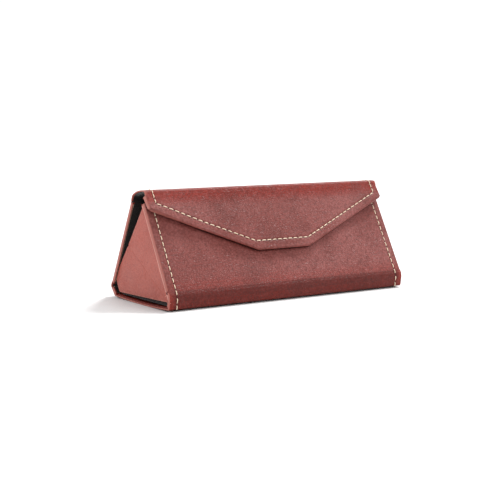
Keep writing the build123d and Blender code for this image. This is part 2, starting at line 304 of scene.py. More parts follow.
def panel_sheet(name, face, low, high, thickness, round_low=True, round_high=True, radius=EDGE_ROUND,
                half=HALF, closed=False, seams=(), wave=0.12, seed=1, step=1.6, near_low=(), corner=1.2,
                lift=None, raised=None, painted_shadow_under_edge=False, fold_shade=0.0, fold_rich=1.0):
    """A leather-covered panel between s = low(x) and s = high(x), with turned edges round its rim."""
    low_at, high_at = as_function(low), as_function(high)
    rim = edge_profile(thickness, radius)
    seam_x = [end[0] for route in seams for end in (route[0], route[-1])]
    inner_x = spread(-half + radius, half - radius, step, seam_x)
    x_list = ([(-half + i, d) for i, d in rim[:-1]] + [(x, 0.0) for x in inner_x]
              + [(half - i, d) for i, d in rim[-2::-1]])
    first = radius if round_low else 0.0
    offsets = [o for o in near_low if o > first + 0.1]
    rows = [("low", i, d) for i, d in (rim if round_low else [(0.0, thickness), (0.0, 0.0)])]
    rows += [("low", o, 0.0) for o in offsets]
    last_offset = offsets[-1] if offsets else first
    last = radius if round_high else 0.0
    span = np.max(high_at(inner_x) - low_at(inner_x))
    count = max(3, int(span / step))
    rows += [("mix", (k + 1) / count, 0.0) for k in range(count - 1)]
    rows += [("high", i, d) for i, d in (rim[::-1] if round_high else [(0.0, 0.0), (0.0, thickness)])]
    xs = np.array([x for x, _ in x_list])
    x_depth = np.array([d for _, d in x_list])
    grid_s = np.zeros((len(rows), len(xs)))
    grid_d = np.zeros_like(grid_s)
    base_low, base_high = low_at(xs), high_at(xs)
    tilt = np.hypot(1, (low_at(xs + 0.01) - low_at(xs - 0.01)) / 0.02)
    for k, (kind, amount, depth) in enumerate(rows):
        if kind == "low":
            grid_s[k] = base_low + amount * tilt
        elif kind == "high":
            grid_s[k] = base_high - amount
        else:
            start = base_low + last_offset * tilt
            grid_s[k] = start + (base_high - last - start) * amount
        grid_d[k] = np.maximum(depth, x_depth)
    grid_x = np.broadcast_to(xs, grid_s.shape).copy()
    if corner:
        round_corners(grid_x, grid_s, base_low, base_high, half, corner, round_low, round_high)
    rim_distance = half - np.abs(grid_x)
    if round_low:
        rim_distance = np.minimum(rim_distance, (grid_s - base_low) / tilt)
    if round_high:
        rim_distance = np.minimum(rim_distance, base_high - grid_s)
    fold_distance = np.full(grid_s.shape, 1e9)
    if not round_low:
        fold_distance = grid_s - base_low
    if not round_high:
        fold_distance = np.minimum(fold_distance, base_high - grid_s)
    calm = smoothstep((rim_distance - 0.5) / 6) * smoothstep(fold_distance / 5)
    push = wave * ripple(grid_x, grid_s, seed) * calm
    for route in seams:
        away = segment_distance(grid_x, grid_s, route)
        swell = 0.10 * np.exp(-((away - 1.5) / 0.7) ** 2) * (grid_d <= 0)
        push = push - 0.26 * np.exp(-(away / 0.5) ** 2) + swell
    if lift is not None:
        push = push + lift(grid_s)
    grid_d = grid_d - push * (1 - np.clip(grid_d / thickness, 0, 1))
    if raised is not None:
        grid_d = grid_d - raised(grid_x, grid_s)
    to_end = half - np.abs(grid_x)
    # paler rims: turned edges are worn and also carry a painted highlight, and the side walls at the case's
    # ends are paler as painted light falling on them
    wear_and_painted_light = np.exp(-np.maximum(rim_distance, 0) / 0.7) * np.where(fold_distance < 0.01, 0.3, 1)
    wear_and_painted_light = wear_and_painted_light * np.where(to_end < rim_distance + 0.3, 1.0, 0.55)
    at_end = to_end < 0.3
    # painted shadow: the lower part of the flap's edge wall goes dark, standing in for the shadow under the
    # flap
    if painted_shadow_under_edge:
        wear_and_painted_light = np.where(at_end, wear_and_painted_light, wear_and_painted_light - 1.6 * smoothstep((grid_d - 0.55) / 0.4))
    else:
        wear_and_painted_light = wear_and_painted_light * np.where(at_end, 1.0, np.exp(-np.maximum(grid_d - 0.2, 0) / 0.5))
    # painted shade: darker beside a fold, standing in for the shade there
    wear_and_painted_light = wear_and_painted_light - fold_shade * np.exp(-np.maximum(fold_distance, 0) / 3.5) * (1 - wear_and_painted_light.clip(0, 1))
    points = face.points(grid_x, grid_s, grid_d).reshape(-1, 3)
    faces = grid_faces(*grid_s.shape)
    if closed:
        brim = rim[0][0]
        back_x = np.clip(grid_x, -half + brim, half - brim)
        back_s = np.clip(grid_s, base_low + brim * tilt, base_high - brim)
        back_d = np.full(grid_s.shape, thickness)
        if raised is not None:
            back_d = back_d - raised(back_x, back_s)
        rear = face.points(back_x, back_s, back_d).reshape(-1, 3)
        faces += [tuple(len(points) + i for i in reversed(f)) for f in faces]
        return smooth(make_mesh(name, np.concatenate([points, rear]), faces, edge=np.tile(wear_and_painted_light.ravel(), 2)))
    # painted sheen: the paler, greyer colour of a soft sheen goes on flat faces away from folds and walls; near
    # the folds the richer red shows
    painted_sheen = smoothstep(np.minimum(fold_distance, 9) / 9) * np.exp(-np.maximum(grid_d - 0.3, 0) / 0.8)
    painted_sheen = 1 - fold_rich * (1 - painted_sheen)
    obj = make_mesh(name, points, faces, out=(0, *face.out), edge=wear_and_painted_light.ravel(), painted_sheen=painted_sheen.ravel())
    obj = smooth(thicken(obj, VISIBLE_SKIN))
    ends = ((base_low[0], round_low), (base_high[0], round_high))
    dark_walls(obj, face, [float(place) for place, turned in ends if not turned])
    return obj


def dark_walls(obj, face, places):
    """Gives a panel's walls at a fold the lining's material, which covers them in use."""
    start, along = Vector((0, *face.start)), Vector((0, *face.along))
    for polygon in obj.data.polygons:
        s = (polygon.center / MM - start).dot(along)
        if abs(polygon.normal.dot(along)) > 0.7 and any(abs(s - p) < 1.0 for p in places):
            polygon.material_index = 1


def round_corners(x, s, low, high, half, radius, round_low, round_high):
    """Pulls the rim's corners in, so that they are round in plan."""
    for sign in (-1, 1):
        across = (np.abs(x) - (half - radius)) / radius
        side = (np.sign(x) == sign) & (across > 0)
        for active, rim, inward in ((round_low, low, 1), (round_high, high, -1)):
            if not active:
                continue
            start = np.broadcast_to(rim + inward * radius, s.shape)
            down = (start - s) * inward / radius
            spot = side & (down > 0)
            a, b = np.clip(across[spot], 0, 1), np.clip(down[spot], 0, 1)
            new_a, new_b = a * np.sqrt(1 - b * b / 2), b * np.sqrt(1 - a * a / 2)
            x[spot] = sign * (half - radius + radius * new_a)
            s[spot] = start[spot] - inward * radius * new_b


def rounded(points, radii, step=0.35):
    """Points along a polyline whose corners are arcs."""
    path = [np.array(points[0], float)]
    for k in range(1, len(points) - 1):
        p, q, r = (np.array(v, float) for v in points[k - 1:k + 2])
        a, b = unit(p - q), unit(r - q)
        turn = math.pi - math.acos(np.clip(a @ b, -1, 1))
        back_off = radii[k - 1] * math.tan(turn / 2)
        start, end = q + a * back_off, q + b * back_off
        centre = q + unit(a + b) * (radii[k - 1] / math.cos(turn / 2))
        path.append(start)
        first = start - centre
        side = np.sign(first[0] * (end - centre)[1] - first[1] * (end - centre)[0])
        count = max(4, int(turn * radii[k - 1] / step) + 2)
        for i in range(1, count):
            angle = side * turn * i / count
            c, s = math.cos(angle), math.sin(angle)
            path.append(centre + np.array((first[0] * c - first[1] * s, first[0] * s + first[1] * c)))
        path.append(end)
    path.append(np.array(points[-1], float))
    return even_path(path, step)


def smooth_curve(points, first, last, step=0.3):
    """A soft curve through the points, with given directions at its two ends."""
    points = [np.array(p, float) for p in points]
    path = []
    for k in range(len(points) - 1):
        p, q = points[k], points[k + 1]
        span = np.linalg.norm(q - p)
        leave = unit(first) if k == 0 else unit(q - points[k - 1])
        arrive = unit(last) if k == len(points) - 2 else unit(points[k + 2] - p)
        for t in np.arange(0, 1, 0.05):
            path.append((2 * t ** 3 - 3 * t ** 2 + 1) * p + (t ** 3 - 2 * t ** 2 + t) * leave * span
                        + (3 * t ** 2 - 2 * t ** 3) * q + (t ** 3 - t ** 2) * arrive * span)
    path.append(points[-1])
    return even_path(path, step)


def even_path(path, step):
    path = np.array(path)
    lengths = np.r_[0, np.cumsum(np.linalg.norm(np.diff(path, axis=0), axis=1))]
    marks = np.linspace(0, lengths[-1], max(3, int(lengths[-1] / step) + 1))
    return np.stack([np.interp(marks, lengths, path[:, k]) for k in range(2)], 1)


def bent_sheet(name, path, thickness, inward, stations=None, seam=True, shade=0.0, painted_sheen=0.0):
    """A closed leather sheet that follows a section path along the whole case.
    thickness is a number, or a function of (x, path points) that gives one for each point."""
    normal = PathFace(path, inward).normal
    loops, wear_and_painted_light = [], []
    for x, pinch in stations or end_stations():
        t = thickness(x, path) if callable(thickness) else np.full(len(path), thickness)
        t = np.asarray(t, float)
        slim = np.minimum(pinch, t * 0.45)
        dip = 0.24 * math.exp(-((abs(x) - HALF + STITCH_INSET) / 0.5) ** 2) if seam else 0.0
        outer = path + normal * (slim + dip)[:, None]
        inner = path + normal * (t - slim)[:, None]
        loop = np.concatenate([outer, inner[::-1]])
        loops.append(np.concatenate([np.full((len(loop), 1), x), loop], 1))
        # paler rounded ends, worn and partly a painted highlight; the rest of the sheet is lowered below zero
        # as painted shade
        wear_and_painted_light.append(np.full(len(loop), (1 + shade) * math.exp(-(HALF - abs(x)) / 0.7) - shade))
    faces = ring_faces(len(loops), len(loops[0]))
    edge = np.concatenate(wear_and_painted_light)
    return smooth(make_mesh(name, np.concatenate(loops), faces, edge=edge, painted_sheen=np.full(len(edge), painted_sheen)))


def both_ends(*insets):
    """The x of each distance from the left and from the right end of the case."""
    return [s * (HALF - inset) for s in (-1, 1) for inset in insets]


def end_stations(extra=()):
    """(x, pinch) along the case, with the sheet's edges rounded at both ends."""
    round_r = 0.35
    left = [(-HALF + inset, down) for inset, down in quarter_turn(round_r, 4)]
    seams = [s * (HALF - STITCH_INSET + d) for s in (-1, 1) for d in BESIDE_SEAM]
    inside = sorted({round(v, 3) for v in (*np.arange(-72, 72.1, 6.0), *seams, *extra)})
    middle = [(x, 0.0) for x in inside if abs(x) < HALF - round_r - 0.01]
    return left + middle + [(-x, p) for x, p in left[::-1]]


# ---- stitching ----
def stitch_spots(route):
    """Middle, direction and length share of each stitch along a route of (x, s) corners."""
    spots = []
    for a, b in zip(route, route[1:]):
        a, b = np.array(a, float), np.array(b, float)
        length = np.linalg.norm(b - a)
        count = max(1, round(length / STITCH_PITCH))
        for i in range(count):
            spots.append((a + (b - a) * (i + 0.5) / count, unit(b - a), length / count / STITCH_PITCH))
    return spots


def stitching(name, face, routes, seed):
    """Twisted thread: each stitch rises from the leather and dips back into it."""
    rng = random.Random(seed)
    sides, rings = 8, 13
    points, faces = [], []
    for spot, along, share in (s for route in routes for s in stitch_spots(route)):
        slant = rng.uniform(-0.05, 0.05)
        c, s = math.cos(slant), math.sin(slant)
        along = np.array((along[0] * c - along[1] * s, along[0] * s + along[1] * c))
        across = left_of(along)
        length = STITCH_LENGTH * share * rng.uniform(0.94, 1.04)
        phase = rng.uniform(0, 6.3)
        first = len(points)
        for i in range(rings):
            t = i / (rings - 1) * 2 - 1
            middle = spot + along * (t * length / 2)
            height = 0.16 - 0.62 * abs(t) ** 5
            radius = THREAD_R * (1 - 0.25 * abs(t) ** 4)
            for j in range(sides):
                turn = 2 * math.pi * j / sides
                ply = radius * (1 + 0.13 * math.cos(2 * turn - 5.5 * t + phase))
                place = middle + across * (ply * math.cos(turn))
                points.append(face.points(place[0], place[1], -(height + 0.8 * ply * math.sin(turn))))
        faces += ring_faces(rings, sides, first)
    return smooth(make_mesh(name, np.array(points), faces), 60)


def needle_holes(name, face, routes, depth=0.2):
    """Dimples where the thread goes in, between one stitch and the next; they are coloured near black as
    painted shade inside the holes.
    """
    points, faces = [], []
    for route in routes:
        spots = stitch_spots(route)
        marks = [(p + d * share * STITCH_PITCH / 2, d) for p, d, share in spots]
        marks.append((spots[0][0] - spots[0][1] * spots[0][2] * STITCH_PITCH / 2, spots[0][1]))
        for middle, along in marks:
            first = len(points)
            across = left_of(along)
            rim = 10
            for level, size in ((depth - 0.04, 1.0), (depth + 0.12, 0.9)):
                for j in range(rim):
                    turn = 2 * math.pi * j / rim
                    place = (middle + along * (HOLE_LONG * size * math.cos(turn))
                             + across * (HOLE_WIDE * size * math.sin(turn)))
                    points.append(face.points(place[0], place[1], level))
            faces += ring_faces(2, rim, first)
    return smooth(make_mesh(name, np.array(points), faces), 50)


# ---- materials ----
class Nodes:
    """Short way to write a node tree."""

    def __init__(self, name):
        self.material = bpy.data.materials.new(name)
        self.material.use_nodes = True
        self.tree = self.material.node_tree
        self.tree.nodes.clear()
        self.shader = self.new("BsdfPrincipled")
        self.new("OutputMaterial", Surface=self.shader.outputs[0])
        self.place = self.new("TexCoord").outputs["Object"]

    def join(self, a, b):
        self.tree.links.new(a, b)

    def put(self, socket, value):
        if isinstance(value, bpy.types.NodeSocket):
            self.join(value, socket)
        elif isinstance(value, tuple) and socket.type == "RGBA":
            socket.default_value = (*value, 1)
        else:
            socket.default_value = value

    def new(self, kind, **values):
        node = self.tree.nodes.new("ShaderNode" + kind)
        for key, value in values.items():
            self.put(node.inputs[key.replace("_", " ")], value)
        return node

    def noise(self, scale, detail=3.0, roughness=0.5, distortion=0.0):
        node = self.new("TexNoise", Vector=self.place, Scale=scale, Detail=detail, Roughness=roughness,
                        Distortion=distortion)
        return node.outputs["Fac"]

    def cells(self, scale, feature="F1"):
        node = self.new("TexVoronoi", Vector=self.place, Scale=scale)
        node.feature = feature
        return node.outputs["Distance"]

    def math(self, operation, a, b=0.0):
        node = self.new("Math")
        node.operation = operation
        self.put(node.inputs[0], a)
        self.put(node.inputs[1], b)
        return node.outputs[0]

    def ramp(self, value, low, high, to_low=0.0, to_high=1.0):
        node = self.new("MapRange", Value=value, From_Min=low, From_Max=high, To_Min=to_low, To_Max=to_high)
        node.interpolation_type = "SMOOTHSTEP"
        return node.outputs["Result"]

    def mix(self, factor, a, b):
        node = self.new("Mix", Factor=factor)
        node.data_type = "RGBA"
        self.put(node.inputs[6], a)
        self.put(node.inputs[7], b)
        return node.outputs[2]

    def touch(self, tone, mask, low, high, share, other):
        """The tone with another colour laid over it where the mask passes from low to high."""
        return self.mix(self.math("MULTIPLY", self.ramp(mask, low, high), share), tone, other)

    def attribute(self, name):
        node = self.new("Attribute")
        node.attribute_name = name
        return node.outputs["Fac"]

    def bump(self, height, distance, strength):
        return self.new("Bump", Strength=strength, Distance=distance, Height=height).outputs["Normal"]

    def set(self, **values):
        for key, value in values.items():
            self.put(self.shader.inputs[key.replace("_", " ")], value)
        return self.material


def leather(name, colour, pale, deep, worn_and_lit, rich, grain=1.0, gloss=0.0):
    """Smooth finished leather: fine pebble grain, soft mottling, paler turned edges (worn, and partly a painted
    highlight), a painted sheen that makes flat faces paler and greyer than the richer folds, and painted shade
    where the edge values go below zero.
    """
    n = Nodes(name)
    pebbles, fine, creases = n.cells(820), n.noise(2600, 2), n.noise(240, 4, 0.6, 0.6)
    cloud, patch, speckle = n.noise(17, 3, 0.55), n.noise(55, 4, 0.6), n.noise(640, 3, 0.6)
    tone = n.mix(n.ramp(cloud, 0.35, 0.68), colour, pale)
    # painted sheen mask: where it is low the richer red shows
    tone = n.mix(n.attribute("painted_sheen"), rich, tone)
    tone = n.touch(tone, patch, 0.42, 0.75, 0.45, deep)
    tone = n.touch(tone, speckle, 0.46, 0.72, 0.50 * grain, deep)
    tone = n.touch(tone, speckle, 0.50, 0.28, 0.35 * grain, pale)
    tone = n.touch(tone, pebbles, 0.35, 0.75, 0.35 * grain, deep)
    wear_and_painted_light = n.attribute("edge_wear_and_painted_light")
    # paler edges: worn, and partly a painted highlight
    tone = n.touch(tone, wear_and_painted_light, 0.25, 0.95, 0.72, worn_and_lit)
    # painted shade: values below zero mix towards near-black
    tone = n.mix(n.ramp(wear_and_painted_light, -0.1, -0.7), tone, (0.025, 0.003, 0.002))
    valleys = n.ramp(n.cells(820, "DISTANCE_TO_EDGE"), 0.0, 0.16)
    height = n.math("ADD", n.math("MULTIPLY", valleys, 0.55), n.math("MULTIPLY", fine, 0.35))
    height = n.math("ADD", height, creases)
    rough = n.ramp(n.noise(130, 3, 0.6), 0.3, 0.75, 0.34 - gloss, 0.50 - gloss)
    shape = n.bump(height, 0.00020 * grain, 0.9)
    return n.set(Base_Color=tone, Roughness=rough, Normal=shape, Specular_IOR_Level=0.2,
                 Coat_Weight=0.02, Coat_Roughness=0.25)


def lining_cloth(name, colour, fleck):
    n = Nodes(name)
    pile = n.noise(2200, 4, 0.7)
    clump = n.noise(420, 3, 0.6)
    tone = n.mix(n.ramp(pile, 0.45, 0.75), colour, fleck)
    tone = n.touch(tone, clump, 0.4, 0.7, 0.5, colour)
    height = n.math("ADD", pile, n.math("MULTIPLY", clump, 1.5))
    return n.set(Base_Color=tone, Roughness=0.95, Normal=n.bump(height, 0.00025, 0.8), Sheen_Weight=0.35,
                 Sheen_Roughness=0.4, Specular_IOR_Level=0.2)


def thread_material():
    n = Nodes("waxed_thread")
    fibre = n.noise(3800, 3, 0.6)
    soil = n.noise(160, 2)
    tone = n.mix(n.ramp(fibre, 0.35, 0.7), (0.64, 0.46, 0.31), (0.90, 0.74, 0.56))
    tone = n.touch(tone, soil, 0.5, 0.8, 0.35, (0.55, 0.38, 0.27))
    return n.set(Base_Color=tone, Roughness=0.62, Normal=n.bump(fibre, 0.0001, 0.7), Sheen_Weight=0.3)


def hole_shade_material():
    n = Nodes("needle_hole")
    # painted shade: near-black colour inside the needle holes
    return n.set(Base_Color=n.mix(n.noise(900, 2), (0.035, 0.010, 0.008), (0.07, 0.02, 0.015)), Roughness=0.9)


def pressed_board():
    n = Nodes("pressed_board")
    fibre = n.noise(900, 5, 0.7)
    tone = n.mix(n.ramp(fibre, 0.35, 0.7), (0.30, 0.24, 0.17), (0.47, 0.40, 0.30))
    return n.set(Base_Color=tone, Roughness=0.9, Normal=n.bump(fibre, 0.0001, 0.6))


def nickel():
    n = Nodes("nickel_plate")
    scratch = n.noise(700, 4, 0.7)
    tone = n.mix(scratch, (0.55, 0.54, 0.52), (0.70, 0.69, 0.66))
    return n.set(Base_Color=tone, Roughness=n.ramp(scratch, 0.3, 0.7, 0.22, 0.42), Metallic=1.0,
                 Normal=n.bump(scratch, 0.00004, 0.4))


OUTER = leather("red_brown_leather", (0.185, 0.042, 0.035), (0.250, 0.076, 0.068), (0.080, 0.012, 0.008),
                (0.50, 0.18, 0.145), (0.215, 0.013, 0.005))
# painted light: the end panels get a paler, pinker version of the red-brown leather, standing in for the light
# falling on their sides
LIT_END_LEATHER = leather("end_leather_painted_lit", (0.42, 0.103, 0.077), (0.47, 0.136, 0.104), (0.27, 0.057, 0.043),
              (0.72, 0.34, 0.285), (0.42, 0.103, 0.077), 0.8)
LINING = lining_cloth("black_lining", (0.006, 0.005, 0.005), (0.050, 0.032, 0.026))
THREAD = thread_material()
HOLE = hole_shade_material()
BOARD = pressed_board()
NICKEL = nickel()


def finish(obj, material, body, *nodes):
    indices = [p.material_index for p in obj.data.polygons]
    obj.data.materials.clear()
    obj.data.materials.append(material)
    if any(indices):
        obj.data.materials.append(LINING)
        obj.data.polygons.foreach_set("material_index", indices)
    if body:
        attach(obj, body)
    if nodes:
        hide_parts(*nodes)
    return obj


def folded(obj, material, body_a, body_b, start, end, *nodes):
    """A leather sheet shaped round a fold between two bodies; it gets its material and is baked in place, fixed
    to neither body.
    """
    finish(obj, material, None, *nodes)
    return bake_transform(obj)


# ---- panels ----
side_x = HALF - STITCH_INSET


def along_sides(low, high):
    return [[(-side_x, low), (-side_x, high)], [(side_x, low), (side_x, high)]]


def trim(name, face, routes, body, node, seed):
    """Stitches and their needle holes."""
    finish(stitching(name, face, routes, seed), THREAD, body, node)
    finish(needle_holes(name + "_holes", face, routes), HOLE, body)


def lining_sheet(name, face, low, high, body, node, half=HALF - LINING_SHY, **more):
    """Cloth on the inner side of a panel."""
    cloth = panel_sheet(name, face, low, high, LINING_T, radius=0.14, half=half, closed=True, wave=0.05,
                        step=3.0, **more)
    finish(cloth, LINING, body, node)


def build_panel(name, face, thickness, first, last, seed, **more):
    """The front or back panel; first and last say where its stitching ends from its two edges."""
    body = f"{name}_panel"
    low, high = reach(f"{name}_board", face)
    low, high = low - SKIN, high + SKIN
    routes = along_sides(low + first, high + last)
    skin = panel_sheet(f"{name}_skin", face, low, high, thickness, seams=routes, seed=seed, wave=0.16,
                       round_low=False, **more)
    finish(skin, OUTER, body, f"{name}_cover")
    lining_sheet(f"{name}_inside_lining", face.inner(thickness + 0.02), low + LINING_SHY, high - LINING_SHY,
                 body, f"{name}_lining", seed=seed + 1)
    trim(f"{name}_thread", face, routes, body, f"{name}_stitching", seed + 2)
    return low, high


def flap_lift(s):
    """The flap's leather stands off its board near the fold."""
    return 0.95 * np.exp(-(np.asarray(s) / 7) ** 2)


def corner_stand(x, s):
    """The flap's lower corners stand away from the front; its tip is held by the magnets."""
    return 1.7 * smoothstep((np.abs(x) - 46) / 36) * np.clip((-np.asarray(s) - 2.6) / 9.0, 0, 1)


def build_flap():
    """The flap's pieces are drawn from its lower edge up, so here s is negative and ends at the fold."""
    set_back = (flap.start - front_ridge) @ flap.along
    low, _ = reach("flap_board", flap)
    low = low - SKIN
    reach_out = STITCH_SLANT * math.hypot(1, FLAP_SLANT)
    corner_s = FLAP_SIDE - set_back - reach_out + STITCH_INSET * FLAP_SLANT
    tip_s = FLAP_LENGTH - set_back - STITCH_TIP
    tip_x = FLAP_TIP_HALF - (reach_out - STITCH_TIP) / FLAP_SLANT
    line = [(-side_x, 1.0 - low), (-side_x, -corner_s), (-tip_x, -tip_s), (tip_x, -tip_s), (side_x, -corner_s),
            (side_x, 1.0 - low)]

    def edge(x):
        return -(FLAP_LENGTH - np.maximum(np.abs(x) - FLAP_TIP_HALF, 0) * FLAP_SLANT - set_back)

    def inner_edge(x):
        return edge(x) + 1.0 * math.hypot(1, FLAP_SLANT)

    upward = Face(flap.start, -flap.along, flap.out)
    near = [1.5, 2.6, 3.6, 4.1, 4.5, 4.75, 4.9, 5.05, 5.25, 5.45, 5.6, 5.75, 5.95, 6.3, 6.9]
    skin = panel_sheet("flap_skin", upward, edge, -low, PANEL_T, round_high=False, seams=[line], seed=31,
                       wave=0.14, near_low=near, step=1.5, corner=1.6, lift=flap_lift, raised=corner_stand,
                       painted_shadow_under_edge=True)
    finish(skin, OUTER, "flap", "flap_cover")
    under = upward.inner(PANEL_T + 0.02)
    lining_sheet("flap_inside_lining", under, inner_edge, -low - LINING_SHY, "flap", "flap_lining", seed=32,
                 raised=lambda x, s: -corner_stand(x, s))
    board_face = Face(upward.start - upward.out * SKIN, upward.along, upward.out)
    board = panel_sheet("flap_stiffener", board_face, inner_edge, -low - LINING_SHY, 1.2, radius=0.1,
                        half=HALF - LINING_SHY, closed=True, wave=0.0, step=3.0, corner=0.5,
                        raised=corner_stand)
    finish(board, BOARD, "flap", "flap_board")
    lifted = Face(upward.start, upward.along, upward.out, lambda x, s: flap_lift(s) + corner_stand(x, s))
    trim("flap_thread", lifted, [line], "flap", "flap_stitching", 33)
    return low


# ---- base and folds ----
def bowed(y):
    """Height of the bottom's outer face; its long edges stand a little higher than its middle."""
    middle = (front_corner[0] + rear_corner[0]) / 2
    share = np.abs(y - middle) / ((rear_corner[0] - front_corner[0]) / 2)
    return BOTTOM_BOW * np.clip(share, 0, 1) ** 2


def groove(path, centre, depth, width, inward):
    """Presses a crease line into a section path."""
    face = PathFace(path, inward)
    away = np.linalg.norm(face.path - centre, axis=1)
    return face.path + face.normal * (depth * np.exp(-(away / width) ** 2))[:, None]


def build_base(front_low, back_low):
    """Bottom with its two strips in one bent sheet, the folds to the panels, and the inner facings."""
    fold_s = math.dist(front_corner, front_fold)
    rear_s = math.dist(rear_corner, rear_fold)
    front_start = strip.at(fold_s - 2.6)
    rear_end = rear_strip.at(rear_s - 2.6)
    corner_a = crossing(front_corner, up_strip, (0, BOTTOM_BOW), (1, 0))
    corner_b = crossing(rear_corner, up_rear, (0, BOTTOM_BOW), (1, 0))
    bottom = [(y, bowed(y)) for y in np.linspace(corner_a[0] + 3, corner_b[0] - 3, 24)]
    first = rounded([front_start, corner_a, bottom[0]], [1.3])
    last = rounded([bottom[-1], corner_b, rear_end], [1.6])
    path = np.concatenate([first[:-1], np.array(bottom)[:-1], last])
    flat = np.abs(path[:, 1] - bowed(path[:, 0])) < 0.02

    def thickness(x, points):
        rim = HALF - abs(x)
        wall = PANEL_T - 0.05 if rim < 0.9 else VISIBLE_SKIN
        hem = 1.45 if 0.9 < rim < 7.0 else VISIBLE_SKIN
        return np.where(flat, hem, wall)

    stations = end_stations(both_ends(0.7, 0.88, 0.92, 6.95, 7.05))
    skin = bent_sheet("bottom_skin", path, thickness, 1, stations, shade=BASE_PAINTED_SHADE, painted_sheen=0.12)
    finish(skin, OUTER, "base", "bottom_cover")
    inside = Face((0, PANEL_T + 0.02), (1, 0), (0, 1))
    low, high = reach("bottom_lining", Face((0, 0), (1, 0), (0, -1)))
    lining_sheet("bottom_inside_lining", inside, low, high, "base", "bottom_lining", half=HALF - 7, seed=41)
    for name, face, top in (("front", strip, fold_s - 1.3), ("rear", rear_strip, rear_s - 1.3)):
        facing = panel_sheet(name + "_strip_facing", face.inner(PANEL_T - 0.1), 1.9, top, 0.2, radius=0.09,
                             half=HALF - LINING_SHY, closed=True, wave=0.0, step=3.0, corner=0)
        finish(facing, LINING, "base")

    def rim(x, points):
        return np.full(len(points), 1.7 if HALF - abs(x) < 0.9 else VISIBLE_SKIN)

    front_path = rounded([front_start, front_fold, front.at(front_low)], [1.1])
    front_path = groove(front_path, front_fold, 0.34, 0.75, -1)
    rim_stations = end_stations(both_ends(0.7, 0.88, 0.92))
    front_bend = ("base", "front_panel", strip.at(fold_s - 1.3), front.at(1.3))
    bend = bent_sheet("front_fold_skin", front_path, rim, -1, rim_stations, shade=FOLD_PAINTED_SHADE, painted_sheen=0.2)
    folded(bend, OUTER, *front_bend)
    rear_path = rounded([rear_end, rear_fold, back.at(back_low)], [0.45])
    rear_bend = ("base", "back_panel", rear_strip.at(rear_s - 1.5), back.at(1.5))
    folded(bent_sheet("rear_fold_skin", rear_path, VISIBLE_SKIN, 1), OUTER, *rear_bend)
    cloth_folds(front_path, -1, "front", front_bend, before=off_strip(strip, fold_s),
                after=onto_panel(front, front_low, PANEL_T))
    cloth_folds(rear_path, 1, "rear", rear_bend, before=off_strip(rear_strip, rear_s),
                after=onto_panel(back, back_low, BACK_T))

    front_face = PathFace(rounded([strip.at(0.3), strip.at(fold_s - 0.4)], []), -1)
    rear_face = PathFace(rounded([rear_strip.at(1.2), rear_strip.at(rear_s - 0.9)], []), 1)
    for name, face, seed in (("front", front_face, 42), ("rear", rear_face, 43)):
        trim(f"{name}_strip_thread", face, along_sides(0.0, face.length), "base", "strip_stitching", seed)


def off_strip(face, fold_s):
    """Where a fold's lining starts on a strip of the base."""
    return [face.at(fold_s - 3.4, PANEL_T + 0.05), face.at(fold_s - 2.6, PANEL_T - 0.1)]


def onto_panel(face, low, thickness):
    """Where a fold's lining ends on the panel above it."""
    return [face.at(low - 0.1, thickness - 0.1), face.at(low + 1.4, thickness + 0.1)]


def cloth_folds(path, inward, name, fold, *nodes, before=(), after=()):
    """Lining behind a folded leather sheet, running on to the panels' own linings."""
    face = PathFace(path, inward)
    behind = face.path + face.normal * (VISIBLE_SKIN + 0.03)
    if before:
        behind = np.concatenate([before, behind[3:]])
    if after:
        behind = np.concatenate([behind[:-3], after])
    behind = even_path(behind, 0.4)
    stations = [(x, 0.0) for x in np.linspace(-HALF + 1.0, HALF - 1.0, 30)]
    cloth = bent_sheet(name + "_fold_lining", behind, 0.22, inward, stations, seam=False)
    folded(cloth, LINING, *fold, *nodes)


def build_spine(back_high, flap_low):
    """Soft top spine in two halves, each bending round the fold at its long edge."""
    crown = rear_ridge + up_spine * 7.0 + spine.out * 1.45
    points = [back.at(back_high), rear_ridge + spine.out * 0.25, rear_ridge + up_spine * 2.6 + spine.out * 1.15,
              crown, front_ridge + flap.out * 0.35, flap.at(flap_low, -flap_lift(flap_low))]
    path = smooth_curve(points, up_back, -up_front, 0.3)
    middle = int(np.argmin(np.linalg.norm(path - crown, axis=1)))
    rear_bend = ("back_panel", "top_spine", rear_ridge - up_back * 1.6, rear_ridge + up_spine * 1.6)
    front_bend = ("top_spine", "flap", front_ridge - up_spine * 1.6, front_ridge - up_front * 1.6)
    onto_back = {"before": [back.at(back_high - 1.4, BACK_T + 0.1), back.at(back_high + 0.1, BACK_T - 0.1)]}
    onto_flap = {"after": onto_panel(flap, flap_low, PANEL_T)}
    for name, part, bend, over in (("spine_rear", path[:middle + 1], rear_bend, onto_back),
                                   ("spine_front", path[middle:], front_bend, onto_flap)):
        skin = bent_sheet(name + "_skin", part, VISIBLE_SKIN, 1)
        folded(skin, OUTER, *bend, "spine_cover")
        cloth_folds(part, 1, name, bend, "spine_lining", **over)
        face = PathFace(part, 1)
        route = along_sides(0.3, face.length - 0.3)
        folded(stitching(name + "_thread", face, route, 51), THREAD, *bend, "spine_stitching")
        folded(needle_holes(name + "_thread_holes", face, route), HOLE, *bend)


# ---- end panels ----
def closed_outline(points, radius, step=1.3):
    """A polygon's outline with rounded corners, as evenly spread points in order."""
    count = len(points)
    path = []
    for k in range(count):
        p, q, r = (np.array(points[(k + d) % count], float) for d in (-1, 0, 1))
        a, b = unit(p - q), unit(r - q)
        size = min(radius, np.linalg.norm(p - q) * 0.3, np.linalg.norm(r - q) * 0.3)
        for t in np.linspace(0, 1, 5):
            path.append(q + a * size * (1 - t) ** 2 + b * size * t ** 2)
    path.append(path[0])
    dense = []
    for p, q in zip(path, path[1:]):
        parts = max(1, int(np.linalg.norm(q - p) / step))
        dense += [p + (q - p) * i / parts for i in range(parts)]
    return np.array(dense)


